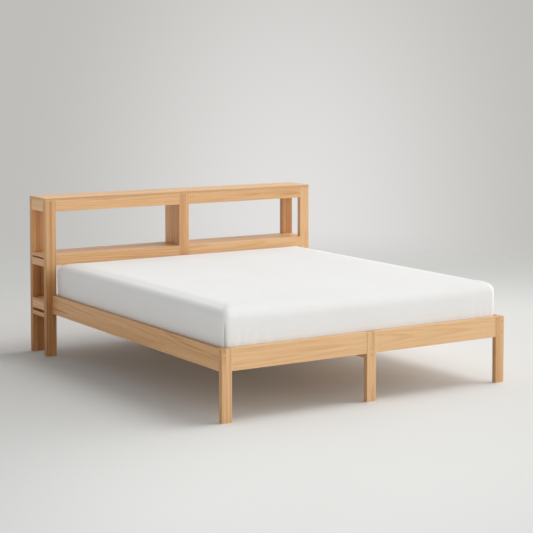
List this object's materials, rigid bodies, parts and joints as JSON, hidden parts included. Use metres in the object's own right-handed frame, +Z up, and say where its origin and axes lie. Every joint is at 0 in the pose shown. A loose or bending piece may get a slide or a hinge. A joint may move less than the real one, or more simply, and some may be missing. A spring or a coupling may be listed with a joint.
{
  "type": "bookcase headboard bed",
  "caption": "Wooden platform bed for two: open bookcase headboard with a divided shelf, slim rails on flat board legs, slats and a mattress in a plain fitted sheet.",
  "frame": {"origin": "bottom centre of the whole bed's box, on the floor", "axes": "+X to the right seen from the foot, +Y from the foot towards the headboard, +Z up"},
  "size_m": [1.946, 2.29, 0.98],
  "materials": {
    "timber": "matte",
    "slat_timber": "matte",
    "dowel_timber": "matte",
    "plug_timber": "matte",
    "zinc_steel": "satin",
    "webbing": "matte",
    "mattress_ticking": "matte",
    "sheet_cotton": "matte"
  },
  "bodies": {
    "bed_frame": {"barrel_nuts": "zinc_steel", "beam_hanger": "zinc_steel", "bolt_plugs": "plug_timber", "bottom_end_rail_left": "timber", "bottom_end_rail_right": "timber", "centre_beam": "timber", "centre_divider": "timber", "foot_leg_centre": "timber", "foot_leg_left": "timber", "foot_leg_right": "timber", "foot_rail_dowels": "dowel_timber", "foot_rail_left": "timber", "foot_rail_right": "timber", "frame_bolts": "zinc_steel", "hanger_screws": "zinc_steel", "headboard_dowels": "dowel_timber", "ledger_screws": "zinc_steel", "lower_end_rail_left": "timber", "lower_end_rail_right": "timber", "lower_rail_back_left": "timber", "lower_rail_back_right": "timber", "lower_rail_front_left": "timber", "lower_rail_front_right": "timber", "lower_shelf_left": "timber", "lower_shelf_right": "timber", "post_back_left": "timber", "post_back_right": "timber", "post_front_centre": "timber", "post_front_left": "timber", "post_front_right": "timber", "shelf_cleats_left": "timber", "shelf_cleats_right": "timber", "shelf_end_rail_left": "timber", "shelf_end_rail_right": "timber", "shelf_left": "timber", "shelf_rail_back_left": "timber", "shelf_rail_back_right": "timber", "shelf_rail_front_left": "timber", "shelf_rail_front_right": "timber", "shelf_right": "timber", "side_rail_left": "timber", "side_rail_right": "timber", "slat_ledger_left": "timber", "slat_ledger_right": "timber", "slat_tapes_left": "webbing", "slat_tapes_right": "webbing", "slats_left": "slat_timber", "slats_right": "slat_timber", "top_board": "timber", "top_end_rail_left": "timber", "top_end_rail_right": "timber", "top_rail_back_left": "timber", "top_rail_back_right": "timber", "top_rail_front_left": "timber", "top_rail_front_right": "timber"},
    "mattress_body": {"mattress": "mattress_ticking", "fitted_sheet": "sheet_cotton"}
  },
  "joints": [
    {"name": "mattress_lift", "type": "slide", "parent": "bed_frame", "child": "mattress_body", "axis": [0, 0, 1], "range_m": [0, 0.3]}
  ]
}
